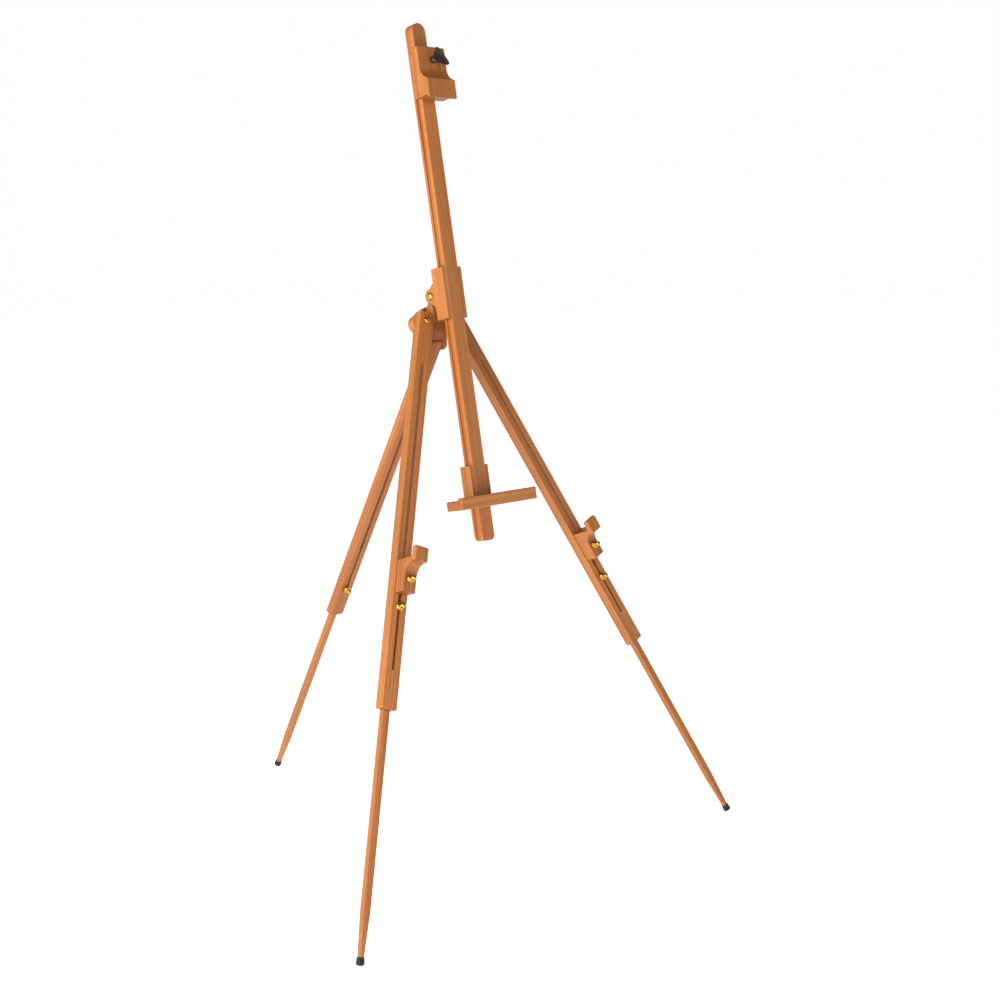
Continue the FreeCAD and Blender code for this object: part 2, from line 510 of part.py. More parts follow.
def ledge_nodes():
    """Ledge that carries the canvas's bottom edge, in the mast frame."""
    front, low = MAST_FRONT, SHELF_Z - SHELF_THICK
    inner = MAST_WIDTH / 2 + SLIDE
    outer = inner + LEDGE_CHEEK
    half = SHELF_LENGTH / 2
    plate_front = MAST_BACK + SLIDE
    plate_back = plate_front + LEDGE_PLATE
    shelf = box(-half, half, front - SHELF_FRONT, front - SHELF_BACK, low, SHELF_Z)
    shelf = soften(shelf, 1.0, lambda m: m.y > front - SHELF_BACK - 0.1 or abs(m.x) > half - 0.1
                   and m.y > front - SHELF_FRONT + 1)
    boss = box(-outer, outer, front - SHELF_BACK - 1, front - SLIDE, low, SHELF_Z)
    groove = box(-half - 1, half + 1, front - SHELF_GROOVE_AT - 2, front - SHELF_GROOVE_AT + 2,
                 SHELF_Z - 3, SHELF_Z + 1)
    shelf = joined([shelf, boss]).cut(groove)
    lip_back = front - SHELF_FRONT
    lip = box(-half, half, lip_back - LIP_THICK, lip_back, low, low + LIP_HEIGHT)
    lip = soften(lip, 1.2, lambda m: m.y < lip_back - 1)

    screw_x = inner + LEDGE_CHEEK / 2
    top = SHELF_Z + LEDGE_RISE
    driven = [(1.8, 40, (side * screw_x, front - 26, low + 9), (0, 1, 0)) for side in (-1, 1)]
    driven += [(1.5, 22, (side * screw_x, plate_back, z), (0, -1, 0))
               for side in (-1, 1) for z in (low + 16, SHELF_Z + 26, top - 12)]
    screws = [wood_screw(*screw) for screw in driven]
    holes = [wood_screw(radius + SCREW_ROOM, length + SCREW_ROOM, at, along)
             for radius, length, at, along in driven]
    bores = [rod(3.8, 21, (side * screw_x, front - 47, low + 9), (0, 1, 0)) for side in (-1, 1)]
    dowels = [rod(2.5, 22, (x, lip_back - 7, low + 11), (0, 1, 0)) for x in (-105, -52, 52, 105)]
    lip = lip.cut(Part.makeCompound(dowels))
    shelf = shelf.cut(Part.makeCompound(dowels + holes[:2] + bores))

    plate = soften(box(-outer, outer, plate_front, plate_back, low, top), 1.5,
                   lambda m: m.y > plate_back - 0.1)
    knob_hole = rod(5.0, 12, (0, plate_front - 1, LEDGE_KNOB_Z), (0, 1, 0))
    plate = plate.cut(Part.makeCompound(holes + [knob_hole]))
    cheeks = {}
    for name, side in SIDES.items():
        cheek = side_cheek(side, inner, outer, front + 0.6, plate_front, low, top)
        tenon = box(*sorted((side * inner, side * outer)), front - SLIDE, front + 0.7, low, SHELF_Z)
        cheek = joined([cheek, tenon]).cut(Part.makeCompound(holes))
        cheeks["ledge_cheek_" + name] = cheek
    insert = ring(5.0, 3.0 + RUN, LEDGE_PLATE - 1, (0, plate_front + 1, LEDGE_KNOB_Z), (0, 1, 0))
    return {
        "ledge_shelf": shelf,
        "ledge_lip": lip,
        "lip_dowels": Part.makeCompound(dowels),
        "ledge_back_plate": plate,
        **cheeks,
        "ledge_screws": Part.makeCompound(screws),
        "ledge_insert": insert,
    }


def ledge_knob_nodes():
    back = MAST_BACK + SLIDE + LEDGE_PLATE
    knob, stud = pressing_knob(back + 0.4, MAST_BACK, LEDGE_KNOB_Z)
    return {"ledge_knob": knob, "ledge_stud": stud}


# ---- legs ---------------------------------------------------------------------------------------
def upper_leg(name):
    """Channel leg: grooved from behind, slotted through its front web, square at both ends."""
    low = LOWER_SHOWN[name] - leg_length(name)
    half = LEG_WIDTH / 2
    if name == "rear":
        leg = bar(LEG_WIDTH, LEG_DEPTH, low, 0, 1.2)
        top = outline([line((-half, LEG_FACE, 0), (-half, -LEG_FACE, 0)),
                       line((-half, -LEG_FACE, 0), (-half, -LEG_FACE, REAR_TOP)),
                       line((-half, -LEG_FACE, REAR_TOP), (-half, 0, REAR_TOP)),
                       arc((-half, 0, REAR_TOP), (-half, -7.4, math.sqrt(REAR_TOP ** 2 - 7.4 ** 2)),
                           (-half, LEG_FACE, math.sqrt(REAR_TOP ** 2 - LEG_FACE ** 2))),
                       line((-half, LEG_FACE, math.sqrt(REAR_TOP ** 2 - LEG_FACE ** 2)),
                            (-half, LEG_FACE, 0))],
                      (LEG_WIDTH, 0, 0))
        leg = joined([leg, top])
        hinge = rod(PIN_BOLT + RUN, LEG_WIDTH + 2, (-half - 1, 0, 0), (1, 0, 0))
    else:
        leg = bar(LEG_WIDTH, LEG_DEPTH, low, LEG_TOP, 1.2)
        hinge = rod(HINGE_BOLT + RUN, LEG_DEPTH + 2, (0, LEG_FACE - 1, 0), (0, 1, 0))
    leg = soften(leg, 1.2, lambda m: m.z < low + 0.1)
    groove = box(-GROOVE_WIDTH / 2, GROOVE_WIDTH / 2, GROOVE_FLOOR, 20, low - 1, -GROOVE_TOP)
    track = box(-TRACK_WIDTH / 2, TRACK_WIDTH / 2, GROOVE_FLOOR - TRACK_DEPTH, GROOVE_FLOOR + 1, low - 1,
                -GROOVE_TOP)
    narrow = slot(SLOT_NARROW, low + SLOT_END, low + SLOT_STEP + 10)
    wide = slot(SLOT_WIDE, low + SLOT_STEP, -SLOT_TOP)
    return leg.cut(joined([groove, track, narrow, wide])).cut(hinge)


def slot(width, z0, z1):
    """Round-ended slot through a leg's front web."""
    y0, y1 = LEG_FACE - 1, GROOVE_FLOOR
    r = width / 2
    body = box(-r, r, y0, y1, z0 + r, z1 - r)
    ends = [rod(r, y1 - y0, (0, y0, z), (0, 1, 0)) for z in (z0 + r, z1 - r)]
    return joined([body] + ends)


def lower_leg(name):
    """Solid lower leg: plain bar, then a taper with growing chamfers that ends in the rubber tip."""
    floor_end = -leg_length(name)
    top = floor_end + LOWER_LENGTH[name]
    taper_top = floor_end + TIP_LENGTH + TAPER_LENGTH
    end = floor_end + TIP_LENGTH - TIP_SOCKET
    y = LOWER_OFFSET
    straight = bar(LOWER_WIDTH, LOWER_DEPTH, taper_top, top, 0.8, y)
    straight = soften(straight, 0.8, lambda m: m.z > top - 0.1)

    def section(width, depth, cut, z):
        w, d, c = width / 2, depth / 2, cut
        corners = [(w, -d + c), (w, d - c), (w - c, d), (-w + c, d), (-w, d - c), (-w, -d + c), (-w + c, -d),
                   (w - c, -d)]
        points = [Vector(px, y + py, z) for px, py in corners]
        return Part.makePolygon(points + points[:1])

    shank = Part.makeLoft([section(LOWER_WIDTH, LOWER_DEPTH, 0.8, taper_top),
                           section(TAPER_END, TAPER_END, 3.0, end)], True, True)
    leg = joined([straight, shank])
    bolt_z = floor_end + CLAMP_AT[name]
    back = y + LOWER_DEPTH / 2
    bore = rod(3.0, 40, (0, y - 20, bolt_z), (0, 1, 0))
    sink = rod(6.6, 10, (0, back - 3.4, bolt_z), (0, 1, 0))
    return leg.cut(bore).cut(sink)


def rubber_tip(name, leg):
    """Slightly conical rubber tip with a domed sole, hollowed for the leg's end."""
    floor_end = -leg_length(name)
    sole = FOOT_RADIUS - math.sqrt(FOOT_RADIUS ** 2 - TIP_RADIUS ** 2)
    k = TIP_RADIUS / 2
    halfway = FOOT_RADIUS - math.sqrt(FOOT_RADIUS ** 2 - k ** 2)
    edges = [arc((0, 0, 0), (k, 0, halfway), (TIP_RADIUS, 0, sole)),
             line((TIP_RADIUS, 0, sole), (TIP_RADIUS - 0.3, 0, sole + 4)),
             line((TIP_RADIUS - 0.3, 0, sole + 4), (TIP_RADIUS - 0.9, 0, TIP_LENGTH - 1.4)),
             arc((TIP_RADIUS - 0.9, 0, TIP_LENGTH - 1.4), (TIP_RADIUS - 1.35, 0, TIP_LENGTH - 0.4),
                 (TIP_RADIUS - 2.3, 0, TIP_LENGTH)),
             line((TIP_RADIUS - 2.3, 0, TIP_LENGTH), (0, 0, TIP_LENGTH)),
             line((0, 0, TIP_LENGTH), (0, 0, 0))]
    tip = Part.Face(Part.Wire(Part.__sortEdges__(edges))).revolve(Vector(), Vector(0, 0, 1), 360)
    tip.Placement = Placement(Vector(0, LOWER_OFFSET, floor_end), Rotation())
    return tip.cut(leg)


def leg_nodes(name):
    """A leg's pieces in its own frame, by body."""
    floor_end = -leg_length(name)
    bolt_z = floor_end + CLAMP_AT[name]
    back = LOWER_OFFSET + LOWER_DEPTH / 2
    washer_y = LEG_FACE - 0.1 - 1.2
    knob_y = washer_y - 0.2
    shank = (back - 3.4) - knob_y + KNOB_BORE - 0.5
    bolt = dome_bolt(3.0, shank, (0, back - 3.4, bolt_z), (0, -1, 0), 2.0)
    leg = lower_leg(name)
    return {
        "upper_leg_" + name: {"upper_leg_" + name: upper_leg(name)},
        "lower_leg_" + name: {
            "lower_leg_" + name: leg,
            "rubber_tip_" + name: rubber_tip(name, leg),
            "leg_bolt_" + name: bolt,
            "leg_washer_" + name: ring(8.0, 3.0, 1.2, (0, washer_y, bolt_z), (0, 1, 0)),
        },
        "leg_knob_" + name: {"leg_knob_" + name: round_knob((0, knob_y, bolt_z), (0, -1, 0))},
    }


# ---- pegs ---------------------------------------------------------------------------------------
PEG_HALF = 17.0
PEG_BELOW = 30.0            # peg's bottom, below its bolt
PEG_BODY, PEG_OUT = 30.0, 64.0
PEG_SADDLE, PEG_TOP = 75.0, 98.5
PEG_LIP, PEG_LIP_LOW = 14.0, 65.0
COVE = 28.0


def peg_block(z):
    """Canvas rest: body on the leg, saddle, upright lip and a hollow curve under it."""
    face = LEG_FACE - SLIDE
    x = -PEG_HALF

    def at(out, up):
        return (x, face - out, z - PEG_BELOW + up)

    k = COVE * math.sqrt(0.5)
    edges = [line(at(0, 0), at(PEG_BODY, 0)),
             line(at(PEG_BODY, 0), at(PEG_BODY, PEG_LIP_LOW - COVE)),
             arc(at(PEG_BODY, PEG_LIP_LOW - COVE),
                 at(PEG_BODY + COVE - k, PEG_LIP_LOW - COVE + k), at(PEG_BODY + COVE, PEG_LIP_LOW)),
             line(at(PEG_BODY + COVE, PEG_LIP_LOW), at(PEG_OUT, PEG_LIP_LOW)),
             line(at(PEG_OUT, PEG_LIP_LOW), at(PEG_OUT, PEG_TOP - 4)),
             arc(at(PEG_OUT, PEG_TOP - 4), at(PEG_OUT - 1.2, PEG_TOP - 1.2), at(PEG_OUT - 4, PEG_TOP)),
             line(at(PEG_OUT - 4, PEG_TOP), at(PEG_OUT - PEG_LIP + 4, PEG_TOP)),
             arc(at(PEG_OUT - PEG_LIP + 4, PEG_TOP), at(PEG_OUT - PEG_LIP + 1.2, PEG_TOP - 1.2),
                 at(PEG_OUT - PEG_LIP, PEG_TOP - 4)),
             line(at(PEG_OUT - PEG_LIP, PEG_TOP - 4), at(PEG_OUT - PEG_LIP, PEG_SADDLE + 6)),
             arc(at(PEG_OUT - PEG_LIP, PEG_SADDLE + 6), at(PEG_OUT - PEG_LIP - 1.8, PEG_SADDLE + 1.8),
                 at(PEG_OUT - PEG_LIP - 6, PEG_SADDLE)),
             line(at(PEG_OUT - PEG_LIP - 6, PEG_SADDLE), at(0, PEG_SADDLE)),
             line(at(0, PEG_SADDLE), at(0, 0))]
    block = outline(edges, (2 * PEG_HALF, 0, 0))
    rims = [e for e in block.Edges if abs(abs(e.CenterOfMass.x) - PEG_HALF) < 0.1
            and e.CenterOfMass.y < face - 1]
    block = block.makeChamfer(0.9, rims)
    tongue = box(-SLOT_WIDE / 2 + 0.3, SLOT_WIDE / 2 - 0.3, face - 1, GROOVE_FLOOR - TRACK_DEPTH - 0.3,
                 z - PEG_BELOW + 5, z + 32)
    return joined([block, tongue]).cut(rod(2.6, 80, (0, -60, z), (0, 1, 0)))


def peg_nodes(name):
    """A peg's pieces in its leg's frame, by body."""
    z = PEG_AT[name] - leg_length(name)
    track_floor = GROOVE_FLOOR - TRACK_DEPTH
    front = LEG_FACE - SLIDE - PEG_BODY
    plate = box(-TRACK_WIDTH / 2 + 0.4, TRACK_WIDTH / 2 - 0.4, track_floor + 0.2, GROOVE_FLOOR - 0.4,
                z - 12, z + 12)
    end = front - 1.2 - 0.2 - KNOB_BORE + 0.5
    shank = rod(2.5, GROOVE_FLOOR - 0.4 - end, (0, GROOVE_FLOOR - 0.4, z), (0, -1, 0))
    return {
        "peg_" + name: {
            "peg_" + name: peg_block(z),
            "peg_bolt_" + name: joined([plate, shank]),
            "peg_washer_" + name: ring(7.5, 2.5, 1.2, (0, front - 1.2, z), (0, 1, 0)),
        },
        "peg_knob_" + name: {"peg_knob_" + name: round_knob((0, front - 1.4, z), (0, -1, 0), 1.0, 2.5)},
    }


# ---- whole easel ----------------------------------------------------------------------------------
def easel():
    """Every node in the row frame, grouped by moving body."""
    bodies = {"head": (HEAD, head_nodes()),
              "carriage": (MAST, carriage_nodes()),
              "tilt_knob": (MAST, {"tilt_knob": tilt_knob()}),
              "lock_knob": (MAST, lock_nodes()),
              "mast": (MAST, {"mast": mast()}),
              "top_clamp": (MAST, top_clamp_nodes()),
              "wing_knob": (MAST, wing_knob_nodes()),
              "ledge": (MAST, ledge_nodes()),
              "ledge_knob": (MAST, ledge_knob_nodes())}
    for name in ("left", "right", "rear"):
        groups = leg_nodes(name)
        if name in SIDES:
            groups.update(peg_nodes(name))
        for body, nodes in groups.items():
            bodies[body] = (leg_frame(name), nodes)
    placed = {}
    for body, (frame, nodes) in bodies.items():
        placed[body] = {}
        for node, shape in nodes.items():
            shape.Placement = frame.multiply(shape.Placement)
            placed[body][node] = shape
    return placed


def main():
    os.makedirs("parts", exist_ok=True)
    for nodes in easel().values():
        for node, shape in nodes.items():
            shape.exportStep("parts/" + node + ".step")


if __name__ == "__main__":
    main()
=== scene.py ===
"""Folding tripod field easel: finishes, turned and moulded pieces, camera and light.

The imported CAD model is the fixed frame, in metres. Wooden pieces keep their CAD shape and get a beech
material whose grain follows each piece's own length. Knobs, wing knob, rubber tips, nuts, bolts and
screws are modelled here in finer detail and stand for their CAD nodes.
"""
import bmesh
import bpy
import json
import math
from mathutils import Matrix, Vector


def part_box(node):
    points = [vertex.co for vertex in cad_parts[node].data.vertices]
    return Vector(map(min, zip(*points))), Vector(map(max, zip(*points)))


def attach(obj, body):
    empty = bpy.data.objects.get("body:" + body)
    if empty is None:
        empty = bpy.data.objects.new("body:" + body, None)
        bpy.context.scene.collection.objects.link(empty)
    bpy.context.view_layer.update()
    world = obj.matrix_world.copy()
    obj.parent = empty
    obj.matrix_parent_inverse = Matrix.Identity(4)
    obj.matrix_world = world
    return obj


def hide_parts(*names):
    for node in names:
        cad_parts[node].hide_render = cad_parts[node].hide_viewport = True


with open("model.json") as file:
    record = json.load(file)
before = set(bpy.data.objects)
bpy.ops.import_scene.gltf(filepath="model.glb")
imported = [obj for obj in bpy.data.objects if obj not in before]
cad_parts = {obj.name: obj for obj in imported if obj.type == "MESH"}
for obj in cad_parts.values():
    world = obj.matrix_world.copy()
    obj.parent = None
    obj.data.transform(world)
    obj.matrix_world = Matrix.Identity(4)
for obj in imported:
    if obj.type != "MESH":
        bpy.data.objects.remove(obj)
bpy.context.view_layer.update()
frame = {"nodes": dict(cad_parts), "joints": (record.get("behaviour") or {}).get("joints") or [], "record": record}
nodes = frame["nodes"]
joints = {joint["name"]: joint for joint in frame["joints"]}
MM = 0.001
LEGS = ("left", "right", "rear")


# ---- places read from the frame -----------------------------------------------------------
def joint_axis(name):
    return Vector(joints[name]["axis"]).normalized()


def joint_place(name):
    return Vector(joints[name]["pos_m"])


ACROSS = Vector((1, 0, 0))
LEG_AXIS = {leg: joint_axis(leg + "_leg_slide") for leg in LEGS}
MAST_AXIS = joint_axis("mast_slide")
MAST_OUT = joint_axis("wing_knob_turn")
REAR_OUT = joint_axis("rear_leg_knob_turn")
HEAD_UP = (LEG_AXIS["left"] + LEG_AXIS["right"]).normalized()
LEG_OUT = joint_axis("left_leg_hinge")      # square to the front legs' plane


def stand(at, along, beside=None):
    """Matrix of a frame at a point whose Z runs along a direction and whose X is near another."""
    z = along.normalized()
    x = beside if beside is not None else (ACROSS if abs(z.x) < 0.9 else Vector((0, 0, 1)))
    x = (x - z * x.dot(z)).normalized()
    return Matrix.Translation(at) @ Matrix((x, z.cross(x), z)).transposed().to_4x4()


def span(node, along, origin):
    """Lowest and highest place of a CAD node's points along a direction, from an origin."""
    places = [(v.co - origin).dot(along) for v in nodes[node].data.vertices]
    return min(places), max(places)


# ---- shader helpers -------------------------------------------------------------------------
class Shader:
    """A new material with short calls that add and link its nodes."""

    def __init__(self, name):
        self.material = bpy.data.materials.new(name)
        self.material.use_nodes = True
        self.tree = self.material.node_tree
        self.surface = self.tree.nodes["Principled BSDF"]

    def set(self, node, inputs):
        for key, value in inputs.items():
            if isinstance(value, bpy.types.NodeSocket):
                self.tree.links.new(value, node.inputs[key])
            else:
                node.inputs[key].default_value = value

    def add(self, kind, inputs, output=0, **settings):
        node = self.tree.nodes.new("ShaderNode" + kind)
        for key, value in settings.items():
            setattr(node, key, value)
        self.set(node, inputs)
        return node.outputs[output]

    def placed(self, to_local):
        """Coordinates of the piece's own frame, in metres, from the row frame's."""
        point = self.add("TexCoord", {}, "Object")
        turn = to_local.to_euler()
        return self.add("Mapping", {"Vector": point, "Rotation": turn, "Location": to_local.translation})

    def stretched(self, point, across, along):
        return self.add("Mapping", {"Vector": point, "Scale": (across, across, along)})

    def noise(self, point, scale=1.0, detail=2.0, roughness=0.5):
        return self.add("TexNoise", {"Vector": point, "Scale": scale, "Detail": detail,
                                     "Roughness": roughness})

    def ramp(self, value, *stops):
        """Grey levels or colours at places between 0 and 1."""
        out = self.add("ValToRGB", {"Fac": value})
        band = out.node.color_ramp
        while len(band.elements) < len(stops):
            band.elements.new(0.5)
        for element, (place, level) in zip(band.elements, stops):
            element.position = place
            element.color = (level, level, level, 1) if isinstance(level, float) else (*level, 1)
        return out

    def mix(self, factor, a, b, blend="MIX"):
        out = self.add("Mix", {}, 2, data_type="RGBA", blend_type=blend)
        for index, value in ((0, factor), (6, a), (7, b)):
            if isinstance(value, tuple):
                value = (*value, 1)
            self.set(out.node, {index: value})
        return out

    def math(self, operation, a, b=0.0):
        return self.add("Math", {0: a, 1: b}, operation=operation)

    def range(self, value, low, high):
        """A 0 to 1 value spread from low to high."""
        return self.add("MapRange", {"Value": value, "To Min": low, "To Max": high})

    def bump(self, height, distance, strength=1.0, normal=None):
        inputs = {"Height": height, "Distance": distance, "Strength": strength}
        if normal is not None:
            inputs["Normal"] = normal
        return self.add("Bump", inputs)

    def finish(self, **inputs):
        names = {"base": "Base Color", "metal": "Metallic", "rough": "Roughness", "normal": "Normal",
                 "coat": "Coat Weight", "coat_rough": "Coat Roughness",
                 "specular": "Specular IOR Level", "glow": "Emission Color",
                 "glow_strength": "Emission Strength"}
        self.set(self.surface, {names[key]: value for key, value in inputs.items()})
        return self.material


# ---- materials ------------------------------------------------------------------------------
BEECH_DARK = (0.255, 0.074, 0.012)
BEECH_MID = (0.385, 0.126, 0.024)
BEECH_LIGHT = (0.510, 0.190, 0.044)
BEECH_PORE = (0.160, 0.042, 0.008)
RING_SPACING = 6 * MM
PITH_DISTANCE = 75 * MM
SEEDS = iter(range(1, 100))


def beech(name, grain, at):
    """Oiled beech: soft growth figure, straight fibres, short dark flecks and darker end grain."""
    s = Shader(name)
    seed = next(SEEDS)
    angle = seed * 2.4
    tone = 0.5 + 0.5 * math.sin(seed * 1.7)
    pith = Vector((math.cos(angle), math.sin(angle), 0)) * PITH_DISTANCE + Vector((0, 0, seed * 0.61))
    point = s.placed(Matrix.Translation(pith) @ stand(at, grain).inverted())

    slow = s.stretched(point, 1.0, 0.045)
    rings = s.add("TexWave", {"Vector": slow, "Scale": 0.314 / RING_SPACING, "Distortion": 5.0, "Detail": 2.0,
                              "Detail Scale": 0.35, "Detail Roughness": 0.5},
                  "Fac", wave_type="RINGS", rings_direction="Z")
    streaks = s.noise(s.stretched(point, 130.0, 3.0), detail=3.0, roughness=0.55)
    fibres = s.noise(s.stretched(point, 620.0, 16.0), detail=3.0, roughness=0.65)
    patches = s.noise(s.stretched(point, 22.0, 2.2), detail=1.0)
    flecks = s.noise(s.stretched(point, 1150.0, 150.0), detail=1.0, roughness=0.4)

    figure = s.math("MULTIPLY", rings, 0.09)
    for layer, share in ((streaks, 0.42), (fibres, 0.22), (patches, 0.36)):
        figure = s.math("ADD", figure, s.math("MULTIPLY", layer, share))
    shade = s.ramp(figure, (0.36 - 0.04 * tone, BEECH_DARK), (0.54 - 0.04 * tone, BEECH_MID),
                   (0.74, BEECH_LIGHT))
    fleck = s.ramp(flecks, (0.60, 0.0), (0.72, 0.34))
    colour = s.mix(fleck, shade, BEECH_PORE)

    facing = s.add("VectorMath", {0: s.add("TexCoord", {}, "Normal"), 1: grain}, "Value",
                   operation="DOT_PRODUCT")
    end = s.ramp(s.math("ABSOLUTE", facing), (0.80, 0.0), (0.95, 0.75))
    colour = s.mix(end, colour, s.mix(1.0, colour, (0.62, 0.52, 0.45), "MULTIPLY"))

    soft_edge = s.add("Bevel", {"Radius": 0.7 * MM}, samples=4)
    relief = s.math("ADD", s.math("MULTIPLY", fibres, 0.6), s.math("MULTIPLY", fleck, -0.5))
    normal = s.bump(relief, 0.25 * MM, 0.35, soft_edge)
    rough = s.range(streaks, 0.36, 0.52)
    return s.finish(base=colour, rough=rough, normal=normal, specular=0.45)


def turned_metal(name, colour, at, along, rough=0.16, pitch=0.35 * MM, depth=0.02 * MM):
    """Metal with faint turning marks around an axis, and smudges that dull it here and there."""
    s = Shader(name)
    point = s.placed(stand(at, along).inverted())
    marks = s.add("TexWave", {"Vector": point, "Scale": 0.314 / pitch, "Distortion": 1.5}, "Fac",
                  wave_type="BANDS", bands_direction="Z")
    smudge = s.noise(point, 160.0, 3.0, 0.6)
    tarnish = s.ramp(s.noise(point, 420.0, 2.0), (0.45, 0.0), (0.8, 0.5))
    base = s.mix(tarnish, colour, tuple(c * 0.72 for c in colour))
    dull = s.range(smudge, rough * 0.6, rough * 1.7)
    return s.finish(base=base, metal=1.0, rough=dull, normal=s.bump(marks, depth, 0.5))


BRASS = (0.62, 0.37, 0.065)
ZINC = (0.66, 0.66, 0.63)


def zinc_steel(name):
    """Zinc-plated steel with a faintly mottled crystal finish."""
    s = Shader(name)
    point = s.add("TexCoord", {}, "Object")
    mottle = s.noise(point, 700.0, 3.0, 0.6)
    base = s.mix(mottle, ZINC, (0.50, 0.50, 0.49))
    return s.finish(base=base, metal=1.0, rough=s.range(mottle, 0.26, 0.46),
                    normal=s.bump(mottle, 0.02 * MM, 0.5))


def rubber(name):
    """Black rubber: fine moulded texture, a little dust where it wears."""
    s = Shader(name)
    point = s.add("TexCoord", {}, "Object")
    grit = s.noise(point, 2600.0, 2.0, 0.6)
    wear = s.ramp(s.noise(point, 190.0, 4.0, 0.6), (0.52, 0.0), (0.75, 0.6))
    base = s.mix(wear, (0.012, 0.012, 0.013), (0.05, 0.048, 0.045))
    return s.finish(base=base, rough=s.range(grit, 0.5, 0.72), normal=s.bump(grit, 0.06 * MM, 0.6),
                    specular=0.35)


def moulded_plastic(name):
    """Glossy black moulded plastic with a slight ripple and handling marks."""
    s = Shader(name)
    point = s.add("TexCoord", {}, "Object")
    ripple = s.noise(point, 90.0, 2.0)
    marks = s.noise(point, 520.0, 4.0, 0.65)
    base = s.mix(marks, (0.008, 0.008, 0.009), (0.018, 0.017, 0.018))
    return s.finish(base=base, rough=s.range(marks, 0.10, 0.26), normal=s.bump(ripple, 0.4 * MM, 0.25),
                    coat=0.4, coat_rough=0.08)


# ---- mesh helpers -----------------------------------------------------------------------------
def piece(name, mesh, body, material, stands_for):
    """An object of the visual model, riding on its body."""
    made = bpy.data.objects.new(name, mesh)
    bpy.context.scene.collection.objects.link(made)
    made.data.materials.clear()
    made.data.materials.append(material)
    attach(made, body)
    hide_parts(stands_for)


def smooth(mesh, sharp_angle=35.0):
    """Shade a mesh smooth, except across edges sharper than an angle."""
    mesh.shade_smooth()
    mesh.set_sharp_from_angle(angle=math.radians(sharp_angle))
    return mesh


def arc_points(centre, radius, start, end, steps):
    """Points (radius from the axis, height) on an arc, angles in degrees from the radial direction."""
    return [(centre[0] + radius * math.cos(math.radians(start + (end - start) * i / steps)),
             centre[1] + radius * math.sin(math.radians(start + (end - start) * i / steps)))
            for i in range(steps + 1)]


ON_AXIS = 1e-6              # radius below which a profile's point counts as on the axis


def add_lathe(bm, profile, place, turns=64):
    """Revolve a closed profile of (radius, height) that starts and ends on the axis; in millimetres."""
    around = [2 * math.pi * i / turns for i in range(turns)]
    rings = []
    for radius, height in profile:
        if radius < ON_AXIS:
            points = [Vector((0, 0, height))]
        else:
            points = [Vector((radius * math.cos(a), radius * math.sin(a), height)) for a in around]
        rings.append([bm.verts.new(place @ (point * MM)) for point in points])
    for low, high in zip(rings, rings[1:]):
        for i in range(turns):
            j = (i + 1) % turns
            corners = [low[i % len(low)], low[j % len(low)], high[j % len(high)], high[i % len(high)]]
            bm.faces.new(list(dict.fromkeys(corners)))


def join_rings(bm, low, high):
    """Faces between two rings of as many points."""
    count = len(low)
    for i in range(count):
        j = (i + 1) % count
        bm.faces.new((low[i], low[j], high[j], high[i]))


def new_mesh(name, bm):
    bmesh.ops.recalc_face_normals(bm, faces=bm.faces)
    mesh = bpy.data.meshes.new(name)
    bm.to_mesh(mesh)
    bm.free()
    return mesh


# ---- small parts --------------------------------------------------------------------------------
def knob_profile(size):
    """Turned knob from its base up: rounded disc with a bead, hollow neck and ball."""
    ball, neck, seat = 5.9, 4.5, 8.1
    middle = seat + math.sqrt(ball ** 2 - neck ** 2)
    start = math.degrees(math.asin((seat - middle) / ball))
    points = [(0, 0), (8.6, 0), (9.3, 0.25)]
    points += arc_points((8.0, 2.4), 2.0, -62, 62, 10)
    points += [(8.7, 4.5)] + arc_points((7.4, 4.7), 1.15, -10, 75, 5)
    points += [(6.2, 6.0), (5.1, 6.4), (4.5, 6.9), (4.25, 7.4), (neck, seat)]
    points += arc_points((0, middle), ball, start, 90, 16)[1:-1] + [(0, middle + ball)]
    return [(radius * size, height * size) for radius, height in points]


def brass_knob(node, body, joint, size=1.0):
    """Brass knob that stands for a CAD knob and turns about its joint's axis."""
    along = joint_axis(joint)
    low, _ = span(node, along, joint_place(joint))
    base = joint_place(joint) + along * low
    bm = bmesh.new()
    add_lathe(bm, knob_profile(size), stand(base, along))
    name = node + "_turned"
    material = turned_metal(name, BRASS, base, along)
    piece(name, smooth(new_mesh(name, bm), 50), body, material, node)


def brass_knobs():
    for leg in LEGS:
        brass_knob("leg_knob_" + leg, "leg_knob_" + leg, leg + "_leg_knob_turn")
    for leg in LEGS[:2]:
        brass_knob("peg_knob_" + leg, "peg_knob_" + leg, leg + "_peg_knob_turn")
    brass_knob("tilt_knob", "tilt_knob", "tilt_knob_turn", 1.25)
    brass_knob("lock_knob", "lock_knob", "mast_lock_turn")
    brass_knob("ledge_knob", "ledge_knob", "ledge_knob_turn")


def tip_profile():
    """Rubber tip from its domed sole up, with two moulded grooves and a rolled rim."""
    sole, length, reach = 14.0, 17.0, 9.0
    dome = math.degrees(math.asin(reach / sole))
    points = arc_points((0, sole), sole, -90, -90 + dome, 8)
    points[0] = (0, 0)
    points += [(9.0, 3.6), (8.95, 4.6)]
    for height in (6.2, 8.6):
        points += [(8.85, height), (8.45, height + 0.35), (8.45, height + 0.85), (8.8, height + 1.2)]
    points += [(8.55, 12.2), (8.35, 13.6)]
    points += arc_points((7.55, 15.7), 1.25, -40, 100, 7)
    return points + [(6.9, length - 0.2), (0, length - 0.2)]


